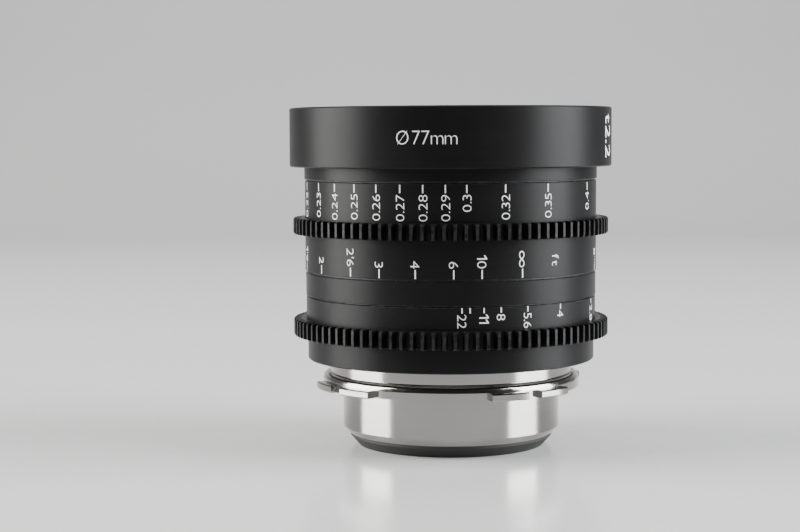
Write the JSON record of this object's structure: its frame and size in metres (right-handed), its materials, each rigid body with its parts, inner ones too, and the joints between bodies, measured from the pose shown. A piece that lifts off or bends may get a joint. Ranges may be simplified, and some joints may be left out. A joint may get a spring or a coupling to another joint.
{
  "type": "cinema prime lens",
  "caption": "Cinema prime lens: black barrel with geared focus and iris rings, wide front ring and a polished steel breech mount.",
  "frame": {"origin": "centre of the rear face, which the lens stands on", "axes": "+Z along the optical axis towards the front of the lens; -Y is the side with the scales in the picture; +X is the camera operator's index side"},
  "size_m": [0.08, 0.08, 0.0838],
  "materials": {
    "black_anodised": "satin black anodised, fine turned lines",
    "inner_black": "matt black anodised",
    "mount_steel": "polished stainless steel, fine turned",
    "shim_steel": "bright rolled steel",
    "screw_steel": "bright machined steel",
    "bronze": "turned bearing bronze",
    "washer_plastic": "dark low-friction plastic",
    "blade_steel": "matt black coated spring steel",
    "coated_glass": "polished optical glass, multi-coated"
  },
  "bodies": {
    "housing": {"rear_shroud": "inner_black", "breech_mount": "mount_steel", "mount_shim_thick": "shim_steel", "mount_shim_thin": "shim_steel", "mount_screws": "screw_steel", "rear_barrel": "black_anodised", "guide_barrel": "inner_black", "index_collar": "black_anodised", "iris_rear_washer": "washer_plastic", "iris_front_washer": "washer_plastic", "focus_rear_washer": "washer_plastic", "focus_front_washer": "washer_plastic", "neck_ring": "black_anodised", "front_ring": "black_anodised", "light_trap": "inner_black", "focus_stop_screw": "screw_steel", "iris_stop_screw": "screw_steel"},
    "focus_ring": {"focus_ring": "black_anodised", "helicoid_sleeve": "bronze"},
    "iris_ring": {"iris_ring": "black_anodised"},
    "carriage": {"carriage": "inner_black", "helicoid_keys": "bronze", "key_screws": "screw_steel", "iris_base": "inner_black", "iris_cover": "inner_black", "front_cell": "inner_black", "front_retainer": "inner_black", "front_element": "coated_glass", "second_retainer": "inner_black", "second_element": "coated_glass", "third_retainer": "inner_black", "third_element": "coated_glass", "middle_spacer": "inner_black", "fourth_element": "coated_glass", "rear_cell": "inner_black", "rear_cell_screws": "screw_steel", "fifth_element": "coated_glass", "sixth_element": "coated_glass", "doublet_spacer": "inner_black", "seventh_element": "coated_glass", "rear_spacer": "inner_black", "eighth_element": "coated_glass", "rear_retainer": "inner_black"},
    "iris_cam": {"iris_cam_ring": "inner_black", "iris_drive_pin": "screw_steel"},
    "iris_blade_1": {"iris_blade_1": "blade_steel"},
    "iris_blade_2": {"iris_blade_2": "blade_steel"},
    "iris_blade_3": {"iris_blade_3": "blade_steel"},
    "iris_blade_4": {"iris_blade_4": "blade_steel"},
    "iris_blade_5": {"iris_blade_5": "blade_steel"},
    "iris_blade_6": {"iris_blade_6": "blade_steel"},
    "iris_blade_7": {"iris_blade_7": "blade_steel"},
    "iris_blade_8": {"iris_blade_8": "blade_steel"}
  },
  "joints": [
    {"name": "focus_turn", "type": "hinge", "parent": "housing", "child": "focus_ring", "pos_m": [0, 0, 0.05475], "axis": [0, 0, 1], "range_deg": [-117.4, 200.5]},
    {"name": "iris_turn", "type": "hinge", "parent": "housing", "child": "iris_ring", "pos_m": [0, 0, 0.0324], "axis": [0, 0, 1], "range_deg": [-9, 85.9]},
    {"name": "carriage_slide", "type": "slide", "parent": "housing", "child": "carriage", "axis": [0, 0, 1], "range_m": [-0.00155, 0.00265]},
    {"name": "iris_cam_turn", "type": "hinge", "parent": "carriage", "child": "iris_cam", "pos_m": [0, 0, 0.03305], "axis": [0, 0, 1], "range_deg": [-9, 85.9]},
    {"name": "iris_blade_1_swing", "type": "hinge", "parent": "carriage", "child": "iris_blade_1", "pos_m": [0.0205, 0, 0.029], "axis": [0, 0, 1], "range_deg": [-2.53, 24.12]},
    {"name": "iris_blade_2_swing", "type": "hinge", "parent": "carriage", "child": "iris_blade_2", "pos_m": [0.0145, 0.0145, 0.029], "axis": [0, 0, 1], "range_deg": [-2.53, 24.12]},
    {"name": "iris_blade_3_swing", "type": "hinge", "parent": "carriage", "child": "iris_blade_3", "pos_m": [0, 0.0205, 0.029], "axis": [0, 0, 1], "range_deg": [-2.53, 24.12]},
    {"name": "iris_blade_4_swing", "type": "hinge", "parent": "carriage", "child": "iris_blade_4", "pos_m": [-0.0145, 0.0145, 0.029], "axis": [0, 0, 1], "range_deg": [-2.53, 24.12]},
    {"name": "iris_blade_5_swing", "type": "hinge", "parent": "carriage", "child": "iris_blade_5", "pos_m": [-0.0205, 0, 0.029], "axis": [0, 0, 1], "range_deg": [-2.53, 24.12]},
    {"name": "iris_blade_6_swing", "type": "hinge", "parent": "carriage", "child": "iris_blade_6", "pos_m": [-0.0145, -0.0145, 0.029], "axis": [0, 0, 1], "range_deg": [-2.53, 24.12]},
    {"name": "iris_blade_7_swing", "type": "hinge", "parent": "carriage", "child": "iris_blade_7", "pos_m": [0, -0.0205, 0.029], "axis": [0, 0, 1], "range_deg": [-2.53, 24.12]},
    {"name": "iris_blade_8_swing", "type": "hinge", "parent": "carriage", "child": "iris_blade_8", "pos_m": [0.0145, -0.0145, 0.029], "axis": [0, 0, 1], "range_deg": [-2.53, 24.12]}
  ],
  "couplings": [
    {"joint": "carriage_slide", "follows": "focus_turn", "m_per_rad": 0.00075698},
    {"joint": "iris_cam_turn", "follows": "iris_turn", "ratio": 1},
    {"joint": "iris_blade_1_swing", "follows": "iris_turn", "ratio": 0.28084},
    {"joint": "iris_blade_2_swing", "follows": "iris_turn", "ratio": 0.28084},
    {"joint": "iris_blade_3_swing", "follows": "iris_turn", "ratio": 0.28084},
    {"joint": "iris_blade_4_swing", "follows": "iris_turn", "ratio": 0.28084},
    {"joint": "iris_blade_5_swing", "follows": "iris_turn", "ratio": 0.28084},
    {"joint": "iris_blade_6_swing", "follows": "iris_turn", "ratio": 0.28084},
    {"joint": "iris_blade_7_swing", "follows": "iris_turn", "ratio": 0.28084},
    {"joint": "iris_blade_8_swing", "follows": "iris_turn", "ratio": 0.28084}
  ]
}
